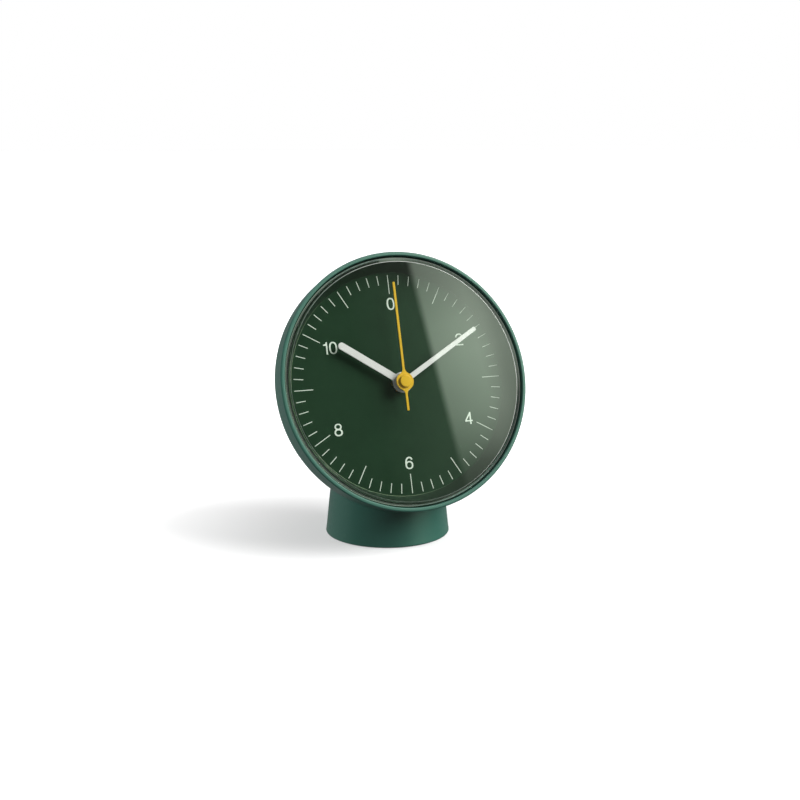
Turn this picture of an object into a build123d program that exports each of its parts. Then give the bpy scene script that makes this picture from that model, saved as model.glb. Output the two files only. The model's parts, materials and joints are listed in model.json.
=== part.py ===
from build123d import *
import os
from math import sin, cos, tan, pi, radians, sqrt, acos, copysign

# Table clock: a round tilted head on a short tapered round base. Millimetres and degrees.
# Row frame: origin at the centre of the base on the table, +Z up, the dial faces -Y, +X to the
# viewer's right.
# Head frame: origin at the dial centre, X right, Y dial-up, Z out of the dial. Levels along
# head Z are called heights; they are negative behind the dial.

# ---------------- driving dimensions ----------------
tilt = 17.9                      # head leans back from vertical
dial_y, dial_z = -15.9, 78.2     # dial centre in the row frame
wall = 2.5                       # head and base wall

# head shell
lip_r, lip_h, lip_in = 62.5, 11.6, 60.4
shoulder_r, shoulder_h, shoulder_round = 61.8, -1.4, 6.0
bowl_slope = 23.0                # half angle of the rear cone
back_h, back_round = -60.0, 5.0
cavity_front = -5.0              # front end of the conical cavity
ledge_h = 7.4                    # lens ledge
bore_r = 59.1                    # bore that holds dial and chapter ring
seat_h, seat_in = -1.0, 55.0     # seat of the dial plate

# front
lens_r, lens_front, lens_back, skirt_in = 59.6, 11.2, 9.0, 58.4
ring_in, ring_top = 54.3, 58.35
dial_r = bore_r - 0.06
tick_out, tick_short, tick_long, tick_w = 53.2, 48.5, 43.9, 0.34
ink = 0.06                       # thickness of the printed marks
numeral_h = 5.95

# hand arbors
second_r, minute_out, hour_out = 0.75, 1.6, 2.45
bush_r, nut_flats = 3.4, 8.2
pivot_r, stem_r = 0.4, 0.9
run = 0.05                       # running clearance
stem_y = 13.2                    # setting arbor, above the hand axis
stem_low = -61.0

# rear cover and battery
cover_r, cover_t = 32.1, 2.4
cover_ledge = 30.6               # inner radius of the ledge under the cover
cover_in = back_h + cover_t
battery_y = -1.5
battery_r, battery_half = 7.15, 25.1
battery_h = cover_in + 7.9
box_x, box_y = 28.35, 8.5        # half sizes of the battery box
box_top = cover_in + 17.2
door_x, door_y = 27.9, 8.1       # half sizes of the battery door

# base
base_r, base_taper = 31.0, 0.104
base_low, base_high = 0.3, 34.0
base_cavity_top = 13.0
neck_head_low, neck_head_high = 12.7, 14.5
plate_low, plate_high = 1.0, 3.0
neck_spots = [(0.0, -11.0), (-13.0, 9.0), (13.0, 9.0)]

os.makedirs("parts", exist_ok=True)
dial_normal = (0, -cos(radians(tilt)), sin(radians(tilt)))
HEAD = Plane(origin=(0, dial_y, dial_z), x_dir=(1, 0, 0), z_dir=dial_normal).location


# ---------------- helpers ----------------
def polar(radius, angle):
    return radius * cos(radians(angle)), radius * sin(radians(angle))


def outline(points):
    """Face inside (x, y) or (x, y, corner radius) points."""
    points = [(*point, 0)[:3] for point in points]
    count = len(points)
    joints = []                  # start, middle and end of each corner
    for i, (x, y, radius) in enumerate(points):
        corner = Vector(x, y)
        if radius <= 0:
            joints.append((corner, None, corner))
            continue
        to_last = (Vector(*points[i - 1][:2]) - corner).normalized()
        to_next = (Vector(*points[(i + 1) % count][:2]) - corner).normalized()
        half = acos(max(-1, min(1, to_last.dot(to_next)))) / 2
        reach = radius / tan(half)
        middle = corner + (to_last + to_next).normalized() * (radius / sin(half) - radius)
        joints.append((corner + to_last * reach, middle, corner + to_next * reach))
    edges = []
    for i, (start, middle, end) in enumerate(joints):
        if middle is not None:
            edges.append(ThreePointArc(start, middle, end))
        following = joints[(i + 1) % count][0]
        if (end - following).length > 1e-6:
            edges.append(Line(end, following))
    return make_face(edges)


def turned(points):
    """Solid of revolution about Z from (radius, height[, corner radius]) points."""
    return revolve(Plane.XZ * outline(points), Axis.Z)


def disc(radius, low, high, x=0, y=0):
    return Pos(x, y, (low + high) / 2) * Cylinder(radius, high - low)


def tube(radius, bore, low, high, x=0, y=0):
    return disc(radius, low, high, x, y) - disc(bore, low - 1, high + 1, x, y)


def block(x0, x1, y0, y1, z0, z1):
    return Pos((x0 + x1) / 2, (y0 + y1) / 2, (z0 + z1) / 2) * Box(x1 - x0, y1 - y0, z1 - z0)


def along_x(shape, x, y, z):
    """Lay a shape built about Z along X, centred on (x, y, z)."""
    return Pos(x, y, z) * Rot(0, 90, 0) * shape


def polygon_face(points):
    return make_face(Polyline(*points, close=True))


def prism(points, low, high):
    return extrude(Pos(0, 0, low) * polygon_face(points), high - low)


def round_corners(shape, half_width, radius):
    """Round the edges along Z that lie at x = +-half_width."""
    edges = shape.edges().filter_by(Axis.Z)
    return fillet([e for e in edges if abs(abs(e.center().X) - half_width) < 0.01], radius)


def cross_cut(shape, length, width, low, high, x, y):
    """Cut a cross recess centred on (x, y)."""
    for half_x, half_y in ((length / 2, width / 2), (width / 2, length / 2)):
        shape = shape - block(x - half_x, x + half_x, y - half_y, y + half_y, low, high)
    return shape


def save(node, *shapes, in_head=True):
    """Write the shapes' solids as one piece; in_head moves them out of the head frame."""
    solids = []
    for shape in shapes:
        solids += (HEAD * shape if in_head else shape).solids()
    piece = solids[0] if len(solids) == 1 else Compound(children=solids)
    piece.label = node
    export_step(piece, "parts/" + node + ".step")


def gear(teeth, module, low, high, at=(0.0, 0.0), phase=0.0, bore=0, addendum=0.75, play=0.05):
    """Involute wheel. One tooth is centred at angle phase; play thins each tooth.
    Wheels of 36 teeth or more get five holes in the web."""
    pressure = radians(20)
    pitch_r = module * teeth / 2
    involute_r = pitch_r * cos(pressure)
    tip_r = pitch_r + addendum * module
    root_r = pitch_r - 1.28 * module
    base_half = pi / (2 * teeth) - play / (2 * pitch_r) + tan(pressure) - pressure

    def half_angle(radius):
        if radius < involute_r:
            return base_half * 0.92
        roll = acos(involute_r / radius)
        return base_half - (tan(roll) - roll)

    flank_low = max(involute_r, root_r)
    radii = [flank_low + (tip_r - flank_low) * t for t in (0, 0.3, 0.65, 1.0)]
    if root_r < involute_r:
        radii = [root_r] + radii
    points = []
    for k in range(teeth):
        centre = radians(phase) + 2 * pi * k / teeth
        for side, flank in ((-1, radii), (1, reversed(radii))):
            for radius in flank:
                angle = centre + side * half_angle(radius)
                points.append((radius * cos(angle), radius * sin(angle)))
    body = prism(points, low, high)
    if bore:
        body = body - disc(bore, low - 1, high + 1)
    if teeth >= 36:
        for k in range(5):
            angle = 2 * pi * k / 5 + 0.3
            hole_x, hole_y = pitch_r * 0.56 * cos(angle), pitch_r * 0.56 * sin(angle)
            body = body - disc(pitch_r * 0.24, low - 1, high + 1, hole_x, hole_y)
    return Pos(*at, 0) * body


def meshed(direction, teeth):
    """Phase of a wheel whose partner, lying in the given direction, has a tooth on the
    line of centres."""
    return direction + 180.0 / teeth


# ---------------- head shell ----------------
inner_offset = wall / cos(radians(bowl_slope))       # wall measured along the radius


def cone_r(height):
    return shoulder_r - (shoulder_h - height) * tan(radians(bowl_slope))


def bowl_bottom(x, y):
    """Row-frame height of the bowl's underside over (x, y), found by marching up along Z."""
    cos_tilt, sin_tilt = cos(radians(tilt)), sin(radians(tilt))
    z = 5.0
    while z < 60:
        from_y, from_z = y - dial_y, z - dial_z
        height = from_y * (-cos_tilt) + from_z * sin_tilt
        dial_up = from_y * sin_tilt + from_z * cos_tilt
        if sqrt(x * x + dial_up * dial_up) <= cone_r(height) and height > back_h:
            return z
        z += 0.02
    return z


# outer form of the bowl, carried on behind the back; also shapes the top of the base
bowl_form = HEAD * turned([
    (0, lip_h), (lip_r, lip_h), (shoulder_r, shoulder_h, shoulder_round),
    (cone_r(-95.0), -95.0), (0, -95.0)])
neck_seats = [(x, y, bowl_bottom(x, y)) for x, y in neck_spots]
cover_screw_spots = [polar(cover_ledge * 0.93, angle) for angle in (60, 120, 270)]


def head_shell():
    ledge_top = cover_in + 2.0
    shell = HEAD * turned([
        (lip_in, lip_h, 0.6),
        (lip_r, lip_h, 0.8),
        (shoulder_r, shoulder_h, shoulder_round),
        (cone_r(back_h), back_h, back_round),
        (cover_r + 0.15, back_h),
        (cover_r + 0.15, cover_in),
        (cover_ledge, cover_in),
        (cover_ledge, ledge_top),
        (cone_r(ledge_top) - inner_offset, ledge_top, 1.5),
        (cone_r(cavity_front) - inner_offset, cavity_front, 1.0),
        (seat_in, cavity_front),
        (seat_in, seat_h),
        (bore_r, seat_h),
        (bore_r, ledge_h),
        (lip_in, ledge_h),
    ])
    # bosses and holes for the screws that come up from inside the base
    for x, y, z in neck_seats:
        shell = shell + (disc(3.6, z + 0.5, z + 9.5, x, y) & bowl_form)
    for x, y, z in neck_seats:
        shell = shell - disc(1.55, z - 5.0, z + 9.0, x, y)
    # bosses and pilot holes for the cover screws, kept inside the cavity
    boss_a, boss_b, boss_c = [disc(3.0, cover_in, cover_in + 8.0, *s) for s in cover_screw_spots]
    pilot_a, pilot_b, pilot_c = [
        disc(1.05, cover_in - 0.5, cover_in + 6.5, *s) for s in cover_screw_spots]
    cavity = turned([
        (0, 0), (seat_in + 0.2, 0), (seat_in + 0.2, cavity_front),
        (cone_r(cavity_front) - inner_offset + 0.3, cavity_front),
        (cone_r(cover_in) - inner_offset + 0.3, cover_in), (0, cover_in)])
    shell = shell + (HEAD * ((boss_a + boss_b + boss_c) & cavity))
    return shell - (HEAD * (pilot_a + pilot_b + pilot_c))


save("head_shell", head_shell(), in_head=False)

# ---------------- front: lens, gasket, chapter ring, dial ----------------
save("lens", turned([
    (0, lens_back), (skirt_in, lens_back), (skirt_in, ledge_h), (lens_r, ledge_h),
    (lens_r, lens_front, 0.55), (0, lens_front)]))
save("lens_gasket", tube(lip_in - 0.04, lens_r + 0.04, ledge_h, ledge_h + 1.5))
save("chapter_ring", turned([(ring_in, 0), (dial_r, 0), (dial_r, ledge_h), (ring_top, ledge_h)]))
save("dial_plate", disc(dial_r, seat_h, 0) - disc(bush_r + 0.1, -3, 3))

# ---------------- printed marks, a thin raised ink layer ----------------
ticks = []
for k in range(60):
    inner = tick_long if k % 5 == 0 else tick_short
    ticks.append(Rot(0, 0, -6 * k) * block(-tick_w / 2, tick_w / 2, inner, tick_out, 0, ink))
save("dial_minute_marks", *ticks)


def bezier(*controls, count=14):
    """Points along a cubic curve with four control points."""
    points = []
    for i in range(count + 1):
        t = i / count
        weights = (1 - t) ** 3, 3 * t * (1 - t) ** 2, 3 * t * t * (1 - t), t ** 3
        points.append(tuple(sum(w * c[axis] for w, c in zip(weights, controls))
                            for axis in (0, 1)))
    return points


def stroke(path, start_w, end_w):
    """Pen stroke along path, its width running from start_w to end_w."""
    left, right = [], []
    last = len(path) - 1
    for i, (x, y) in enumerate(path):
        from_x, from_y = path[max(i - 1, 0)]
        to_x, to_y = path[min(i + 1, last)]
        along, up = to_x - from_x, to_y - from_y
        length = sqrt(along * along + up * up)
        half = (start_w + (end_w - start_w) * i / last) / 2
        left.append((x - up / length * half, y + along / length * half))
        right.append((x + up / length * half, y - along / length * half))
    return polygon_face(left + right[::-1])


def oval(x, y, half_x, half_y, power, count=56):
    """Superellipse; a power above 2 squares it up."""
    points = []
    for i in range(count):
        angle = 2 * pi * i / count
        c, s = cos(angle), sin(angle)
        points.append((x + half_x * copysign(abs(c) ** (2 / power), c),
                       y + half_y * copysign(abs(s) ** (2 / power), s)))
    return polygon_face(points)


# Plain sans digits drawn 6 high, each centred on its own middle
def digit_0():
    return oval(0, 0, 2.02, 3.0, 2.35) - oval(0, 0, 1.24, 2.36, 2.3)


def digit_1():
    return polygon_face([
        (0.35, -3.0), (1.09, -3.0), (1.09, 3.0), (0.52, 3.0), (0.3, 2.4),
        (-0.1, 2.0), (-1.0, 1.83), (-1.0, 1.3), (0.35, 1.3)])


def digit_2():
    path = bezier((-1.62, 1.1), (-1.62, 2.15), (-0.95, 2.67), (0.0, 2.67))
    path += bezier((0.0, 2.67), (0.95, 2.67), (1.6, 2.15), (1.6, 1.3))[1:]
    path += bezier((1.6, 1.3), (1.6, -0.35), (-1.35, -0.75), (-1.6, -2.6))[1:]
    foot = polygon_face([(-2.02, -3.0), (2.0, -3.0), (2.0, -2.33), (-1.9, -2.33)])
    return stroke(path, 0.74, 0.74) + foot


def digit_4():
    stem = polygon_face([(0.55, -3.0), (1.27, -3.0), (1.27, 3.0), (0.55, 3.0)])
    bar = polygon_face([(-2.0, -1.62), (2.0, -1.62), (2.0, -0.98), (-2.0, -0.98)])
    slope = polygon_face([(-2.0, -1.0), (-1.18, -1.0), (1.0, 2.2), (1.0, 3.0), (0.68, 3.0)])
    return stem + bar + slope


def digit_6():
    bowl = oval(0.03, -1.02, 2.0, 1.96, 2.2) - oval(0.03, -1.02, 1.26, 1.33, 2.2)
    path = bezier((-1.62, -1.1), (-1.72, 1.1), (-1.2, 2.66), (0.15, 2.66))
    path += bezier((0.15, 2.66), (0.95, 2.66), (1.42, 2.25), (1.55, 1.5))[1:]
    return bowl + stroke(path, 0.76, 0.72)


def digit_8():
    top = oval(0, 1.45, 1.78, 1.53, 2.15)
    low = oval(0, -1.27, 2.08, 1.73, 2.2)
    return (top + low) - oval(0, 1.5, 1.05, 0.92, 2.15) - oval(0, -1.25, 1.30, 1.10, 2.2)


# digits with their x offsets, then x and y of the numeral
numeral_table = [
    (((digit_0, 0.0),), 0.0, 39.0),
    (((digit_2, 0.0),), 34.0, 19.5),
    (((digit_4, 0.0),), 34.0, -19.7),
    (((digit_6, 0.0),), 0.0, -38.7),
    (((digit_8, 0.0),), -33.7, -19.9),
    (((digit_1, -2.35), (digit_0, 1.55)), -33.3, 19.2),
]
numeral_scale = numeral_h / 6.0
numerals = []
for digits, x, y in numeral_table:
    for digit, shift in digits:
        solid = scale(extrude(digit(), ink), (numeral_scale, numeral_scale, 1))
        numerals.append(Pos(x + shift, y, 0) * solid)
save("dial_numerals", *numerals)

# ---------------- hands, drawn pointing at the top of the dial ----------------
hour_angle, minute_angle = 303.8, 59.6               # clockwise from the top
hour_low, hour_high = 3.3, 4.0
minute_low, minute_high = 5.3, 5.9
second_low, second_high = 6.75, 7.2


def blade(tip, half_root, half_tip, low, high, tip_round):
    points = [(-half_root, 0), (-half_tip, tip, tip_round),
              (half_tip, tip, tip_round), (half_root, 0)]
    return extrude(Pos(0, 0, low) * outline(points), high - low)


hour_hand = blade(36.3, 1.75, 1.75, hour_low, hour_high, tip_round=1.74)
hour_hand = hour_hand + disc(5.0, hour_low, hour_high) + tube(3.3, hour_out, 2.4, 3.4)
save("hour_hand", Rot(0, 0, -hour_angle) * (hour_hand - disc(hour_out, -1, 9)))

minute_hand = blade(47.2, 1.3, 1.05, minute_low, minute_high, tip_round=0.7)
minute_hand = minute_hand + disc(4.4, minute_low, minute_high) + tube(2.4, minute_out, 4.6, 5.4)
save("minute_hand", Rot(0, 0, -minute_angle) * (minute_hand - disc(minute_out, -1, 9)))

# concave blend from the disc into each arm: half width, distance from the centre
flare_half = [(0.575, 8.0), (0.7, 6.4), (1.05, 5.2), (1.7, 4.35), (2.6, 3.4)]
arm = block(-0.575, 0.575, -14.1, 48.4, second_low, second_high)
second_hand = round_corners(arm, 0.575, 0.45) + disc(4.4, second_low, second_high)
for side in (1, -1):
    flare = [(-x, side * y) for x, y in flare_half]
    flare += [(x, side * y) for x, y in reversed(flare_half)]
    second_hand = second_hand + prism(flare, second_low, second_high)
second_hand = second_hand + tube(1.5, second_r, 6.25, 6.9)
save("second_hand", second_hand - disc(second_r, 0, 9))
save("second_hand_cap", turned([
    (0, 7.55), (1.2, 7.55), (1.2, second_high), (2.9, second_high), (2.9, 8.4, 0.4), (0, 8.4)]))

# ---------------- movement case ----------------
case_x, case_y0, case_y1 = 28.0, -30.0, 26.0
case_wall, case_round = 1.2, 2.0
front_h, front_in = -2.0, -3.2                       # front housing, outer and inner face
mid_top, mid_low = -6.2, -7.0                        # middle plate
rear_in, rear_h = -15.8, -17.0                       # rear housing, inner and outer face

# tooth counts of each meshing pair
hour_teeth, minute_pinion = 40, 10
minute_teeth, cannon_teeth = 36, 12
centre_teeth, third_pinion = 64, 8
third_teeth, second_pinion = 60, 8
second_teeth, inter_pinion = 72, 12
inter_teeth, rotor_teeth = 40, 8

# arbor places and modules
third_distance, third_angle, rotor_angle = 12.2, 300, 225
hour_module = 2 * stem_y / (hour_teeth + minute_pinion)
minute_module = 2 * stem_y / (minute_teeth + cannon_teeth)
centre_module = 2 * third_distance / (centre_teeth + third_pinion)
third_module = 2 * third_distance / (third_teeth + second_pinion)
fine_module = 0.3                                    # second, intermediate and rotor
minute_arbor = (0.0, stem_y)
third = polar(third_distance, third_angle)
inter = (-fine_module * (second_teeth + inter_pinion) / 2, 0.0)
rotor_dx, rotor_dy = polar(fine_module * (inter_teeth + rotor_teeth) / 2, rotor_angle)
rotor = (inter[0] + rotor_dx, inter[1] + rotor_dy)
case_screw_spots = ((-25.4, 23.4), (25.4, 23.4), (-25.4, -27.4), (25.4, -27.4))


def case_block(low, high, inset=0.0):
    return block(-case_x + inset, case_x - inset, case_y0 + inset, case_y1 - inset, low, high)


front_housing = case_block(mid_top, front_h) - case_block(mid_top - 1, front_in, case_wall)
front_housing = front_housing - disc(bush_r + 0.02, -9, 0)
front_housing = front_housing - disc(5.25, front_in - 1, front_in + 0.62)
front_housing = front_housing - disc(stem_r + run, front_in - 1, front_in + 0.8, *minute_arbor)
save("movement_front_housing", round_corners(front_housing, case_x, case_round))

save("movement_washer", tube(9.0, bush_r + 0.1, front_h, seat_h))
save("movement_bushing", tube(bush_r, hour_out + run, front_in + 0.2, 2.0)
     + tube(5.2, hour_out + run, front_in, front_in + 0.6))
nut_r = nut_flats / 2 / cos(radians(30))
save("dial_nut", extrude(RegularPolygon(nut_r, 6), 1.8) - disc(bush_r, -1, 3))

middle_plate = round_corners(case_block(mid_low, mid_top), case_x, case_round)
for spot in case_screw_spots:
    middle_plate = middle_plate - disc(0.95, -9, -3, *spot)
middle_plate = middle_plate - disc(minute_out + run, -9, 0)
for spot in (third, inter, rotor):
    middle_plate = middle_plate - disc(pivot_r + run, -9, -3, *spot)
save("movement_middle_plate", middle_plate - disc(stem_r + run, -9, -3, *minute_arbor))

rear_housing = case_block(rear_h, mid_low) - case_block(rear_in, mid_low + 1, case_wall)
rear_housing = round_corners(rear_housing, case_x, case_round)
for spot in (third, inter, rotor, (0.0, 0.0)):       # pivot bearings
    rear_housing = rear_housing + disc(1.6, rear_in - 0.2, rear_in + 0.5, *spot)
    rear_housing = rear_housing - disc(pivot_r + run, rear_in - 0.6, rear_in + 1, *spot)
rear_housing = rear_housing - disc(stem_r + run, rear_h - 1, rear_in + 1, *minute_arbor)
# slot for the battery leads
rear_housing = rear_housing - block(14.0, 17.0, case_y0 + 3, case_y0 + 5.0,
                                    rear_h - 1, rear_in + 1)
for spot in case_screw_spots:
    rear_housing = rear_housing - disc(0.95, rear_h - 1, rear_in + 1, *spot)
save("movement_rear_housing", rear_housing)

case_screws = []
for x, y in case_screw_spots:
    screw = disc(1.6, rear_h - 0.9, rear_h, x, y)
    screw = screw - block(x - 1.3, x + 1.3, y - 0.2, y + 0.2, rear_h - 1, rear_h - 0.5)
    case_screws.append(screw + disc(0.9, rear_h - 0.1, -6.3, x, y))
save("movement_screws", *case_screws)

# ---------------- motion work ----------------
hour_wheel = gear(hour_teeth, hour_module, -4.4, -3.6, phase=meshed(90, hour_teeth),
                  bore=hour_out, addendum=0.6)
save("hour_wheel", hour_wheel + tube(hour_out, minute_out + run, -4.4, hour_high))

# one cannon pinion tooth points at the minute wheel, one minute pinion tooth at the hour wheel
cannon = gear(cannon_teeth, minute_module, -5.8, -4.8, phase=90, addendum=0.9)
cannon = cannon + disc(minute_out, -8.2, minute_high)
save("cannon_pinion", cannon - disc(second_r + run, -10, 9))

minute_wheel = gear(minute_teeth, minute_module, -5.8, -4.8, minute_arbor,
                    phase=meshed(-90, minute_teeth))
minute_wheel = minute_wheel + gear(minute_pinion, hour_module, -5.0, -3.5, minute_arbor,
                                   phase=-90, addendum=0.9)
save("minute_wheel", minute_wheel - disc(stem_r, -9, 0, *minute_arbor))

save("setting_stem", disc(stem_r, stem_low, -2.6, *minute_arbor))
knob = turned([(0, -64.6), (5.5, -64.6, 0.6), (5.5, -58.6, 0.4), (0, -58.6)])
for k in range(24):                                  # grip flutes
    knob = knob - disc(0.32, -66, -59.6, *polar(5.62, 15 * k))
knob = Pos(*minute_arbor, 0) * knob
save("setting_knob", knob - disc(stem_r, stem_low, -50, *minute_arbor))

# ---------------- going train ----------------
pivot_low, pivot_high = -16.2, -6.4
train_play = 0.04


def train_wheel(teeth, module, low, high, direction, at=(0.0, 0.0), bore=0, addendum=0.46):
    return gear(teeth, module, low, high, at, meshed(direction, teeth), bore, addendum, train_play)


def train_pinion(teeth, module, low, high, phase, at=(0.0, 0.0)):
    return gear(teeth, module, low, high, at, phase, addendum=0.85, play=train_play)


def pivot(at):
    return disc(pivot_r, pivot_low, pivot_high, *at)


save("centre_wheel", train_wheel(centre_teeth, centre_module, -8.2, -7.4, third_angle,
                                 bore=minute_out + run))
third_wheel = train_wheel(third_teeth, third_module, -10.4, -9.6, third_angle - 180, third)
third_wheel = third_wheel + train_pinion(third_pinion, centre_module, -9.7, -7.3,
                                         third_angle - 180, third)
save("third_wheel", third_wheel + pivot(third))

second_wheel = train_wheel(second_teeth, fine_module, -12.4, -11.6, 180, addendum=0.66)
second_wheel = second_wheel + train_pinion(second_pinion, third_module, -11.7, -9.5, third_angle)
second_wheel = second_wheel + disc(second_r, -12.4, 7.5) + disc(pivot_r, pivot_low, -12.4)
save("second_wheel", second_wheel)

inter_wheel = train_wheel(inter_teeth, fine_module, -14.2, -13.4, rotor_angle, inter)
inter_wheel = inter_wheel + train_pinion(inter_pinion, fine_module, -13.5, -11.5, 0, inter)
save("intermediate_wheel", inter_wheel + pivot(inter))

rotor_arbor = train_pinion(rotor_teeth, fine_module, -14.3, -12.0, rotor_angle - 180, rotor)
rotor_arbor = rotor_arbor + pivot(rotor)
save("rotor_pinion", rotor_arbor - tube(3.0, pivot_r, -11.9, -9.1, *rotor))
save("rotor_magnet", tube(2.4, pivot_r, -11.8, -9.2, *rotor))

# ---------------- motor and electronics ----------------
stator_low, stator_high = -10.9, -10.1
stator = block(-26.2, -13.6, -9.5, -1.0, stator_low, stator_high)
# left limb, right limb and the bar through the coil: x0, x1, y0, y1
for bar in ((-26.2, -23.6, -21, -9), (-15.2, -12.6, -21, -9), (-26.2, -12.6, -21, -18.4)):
    stator = stator + block(*bar, stator_low, stator_high)
save("stator", stator - disc(2.9, -12, -9, *rotor))
save("coil", along_x(Cylinder(2.6, 7.4), -19.4, -19.7, -10.5)
     - block(-30, -8, -21.05, -18.35, stator_low - 0.05, stator_high + 0.05))

board_top = -12.8
save("circuit_board", block(3.0, 23.6, -28.0, -20.5, -13.6, board_top))
save("quartz_crystal", along_x(Cylinder(1.15, 6.2), 15, -26.0, -11.6))
save("timing_chip", Pos(8.5, -24.5, 0) * turned([
    (0, board_top), (2.2, board_top), (2.2, -12.1, 0.4), (0, -11.8)]))

# ---------------- rear cover ----------------
cover = disc(cover_r, back_h, cover_in)
cover = fillet(cover.edges().sort_by(Axis.Z)[0], 0.6)
cover = cover - disc(6.0, back_h - 1, cover_in + 1, *minute_arbor)
cover = cover - block(-27.3, 27.3, battery_y - 7.5, battery_y + 7.5, back_h - 1, cover_in + 1)
cover = cover - block(-door_x - 0.15, door_x + 0.15, battery_y - door_y - 0.15,
                      battery_y + door_y + 0.15, back_h - 1, back_h + 1.25)
for spot in cover_screw_spots:
    cover = cover - disc(1.3, back_h - 1, cover_in + 1, *spot)
    cover = cover - disc(2.4, back_h - 1, back_h + 1.2, *spot)
save("rear_cover", cover)

cover_screws = []
for spot in cover_screw_spots:
    screw = disc(2.2, back_h + 0.1, back_h + 1.2, *spot)
    screw = cross_cut(screw, 3.0, 0.5, back_h - 1, back_h + 0.6, *spot)
    cover_screws.append(screw + disc(1.0, back_h + 1.1, back_h + 8.0, *spot))
save("rear_cover_screws", *cover_screws)

# ---------------- battery ----------------
door = block(-door_x, door_x, battery_y - door_y, battery_y + door_y, back_h, back_h + 1.2)
door = round_corners(door, door_x, 0.4)
for k in range(5):                                   # grooves near the -X end
    door = door - block(-27.0 + 1.4 * k, -26.3 + 1.4 * k, battery_y - 5, battery_y + 5,
                        back_h - 1, back_h + 0.45)
save("battery_door", door)

box = block(-box_x, box_x, battery_y - box_y, battery_y + box_y, cover_in, box_top)
box = box - block(-27.25, 27.25, battery_y - 7.45, battery_y + 7.45, cover_in - 1, box_top - 1.2)
box = round_corners(box, box_x, 0.9)
for x in (26.0, -29.0):                              # lead slots in the end walls
    box = box - block(x, x + 3.0, battery_y - 0.8, battery_y + 0.8, box_top - 4, box_top - 2)
save("battery_box", box)

cell = along_x(Cylinder(battery_r, 2 * battery_half - 1.2), 0, battery_y, battery_h)
cell = fillet(cell.edges().filter_by(GeomType.CIRCLE), 0.6)
save("battery", cell + along_x(Cylinder(2.7, 1.3), battery_half - 0.65, battery_y, battery_h))


def contact_leaf(x0, x1):
    return block(x0, x1, battery_y - 5.5, battery_y + 5.5, cover_in + 2.5, box_top - 1.6)


save("battery_contact_plus", contact_leaf(26.6, 27.2)
     + block(25.2, 26.7, battery_y - 1.2, battery_y + 1.2, battery_h - 1.2, battery_h + 1.2))
minus = contact_leaf(-27.2, -26.6)
# stepped rings in place of a spring: outer radius, x0, x1
for radius, x0, x1 in ((3.9, -26.65, -26.15), (3.0, -26.2, -25.55), (2.1, -25.6, -24.6)):
    ring = Cylinder(radius, x1 - x0) - Cylinder(radius - 0.9, x1 - x0 + 1)
    minus = minus + along_x(ring, (x0 + x1) / 2, battery_y, battery_h)
save("battery_contact_minus", minus)

leads = []
lead_y = case_y0 + 4.0
# side of the box, x behind the movement, x at the circuit board
for side, behind_x, board_x in ((1, 15.5, 16.1), (-1, 15.7, 14.9)):
    path = Polyline(
        (side * 27.25, battery_y, box_top - 3.0), (side * 31.0, battery_y, box_top - 3.0),
        (side * 31.0, battery_y - 10, box_top + 8.0),
        (behind_x, lead_y, rear_h - 3.0), (board_x, lead_y, -13.7))
    wire = Plane(origin=path @ 0, z_dir=path % 0) * Circle(0.45)
    leads.append(sweep(wire, path=path, transition=Transition.ROUND).solids()[0])
save("battery_leads", *leads)

# ---------------- base ----------------
base_screw_spots = [polar(24.4, angle) for angle in (90, 210, 330)]


def base_radius(z):
    return base_r - base_taper * z


def pedestal():
    outer = turned([
        (0, base_low), (base_radius(base_low), base_low, 0.8),
        (base_radius(base_high), base_high), (0, base_high)])
    hollow = turned([
        (0, base_low - 1), (28.4, base_low - 1), (28.4, plate_high), (27.0, plate_high),
        (base_radius(base_cavity_top) - wall - 1, base_cavity_top, 2.0), (0, base_cavity_top)])
    body = outer - hollow - bowl_form
    for spot in neck_spots:
        body = body - disc(1.7, -10, 50, *spot)
        body = body - disc(3.2, 9.5, neck_head_high, *spot)
    for spot in base_screw_spots:
        pilot = disc(1.05, -1, 11, *spot)
        body = body + (disc(2.6, 3.1, 13.3, *spot) - pilot)
        body = body - pilot
    return max(body.solids(), key=lambda solid: solid.volume)


save("base_pedestal", pedestal(), in_head=False)

neck_screws = []
for x, y, z in neck_seats:
    screw = disc(1.5, neck_head_high, z + 6.5, x, y)
    screw = screw + disc(3.0, neck_head_low, neck_head_high, x, y)
    neck_screws.append(cross_cut(screw, 3.6, 0.6, 12.1, 13.3, x, y))
save("neck_screws", *neck_screws, in_head=False)

plate = disc(28.2, plate_low, plate_high)
for spot in base_screw_spots:
    plate = plate - disc(1.3, -1, 5, *spot) - disc(2.3, 0.2, 1.8, *spot)
save("base_plate", plate, in_head=False)

weight = disc(20.0, plate_high, plate_high + 7.0)
weight = fillet(weight.edges().sort_by(Axis.Z)[-1], 1.0)
save("base_weight", weight, in_head=False)

base_screws = []
for spot in base_screw_spots:
    screw = disc(2.1, 1.05, 1.75, *spot) + disc(1.0, 1.5, 9.5, *spot)
    base_screws.append(cross_cut(screw, 2.6, 0.5, 0.85, 1.35, *spot))
save("base_screws", *base_screws, in_head=False)

save("foot_pad", disc(28.3, 0, plate_low), in_head=False)
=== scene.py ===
"""Desk clock: a round bowl-shaped head with a clear lens, leaning back on a tapered round base.

The world is in metres, +Z up, and the clock faces -Y. Meshes are drawn in millimetres. The head's
pieces are drawn in a local frame: X right, Y up along the dial, Z out of the dial.
"""
import json
import math

import bmesh
import bpy
from mathutils import Matrix, Vector


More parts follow.
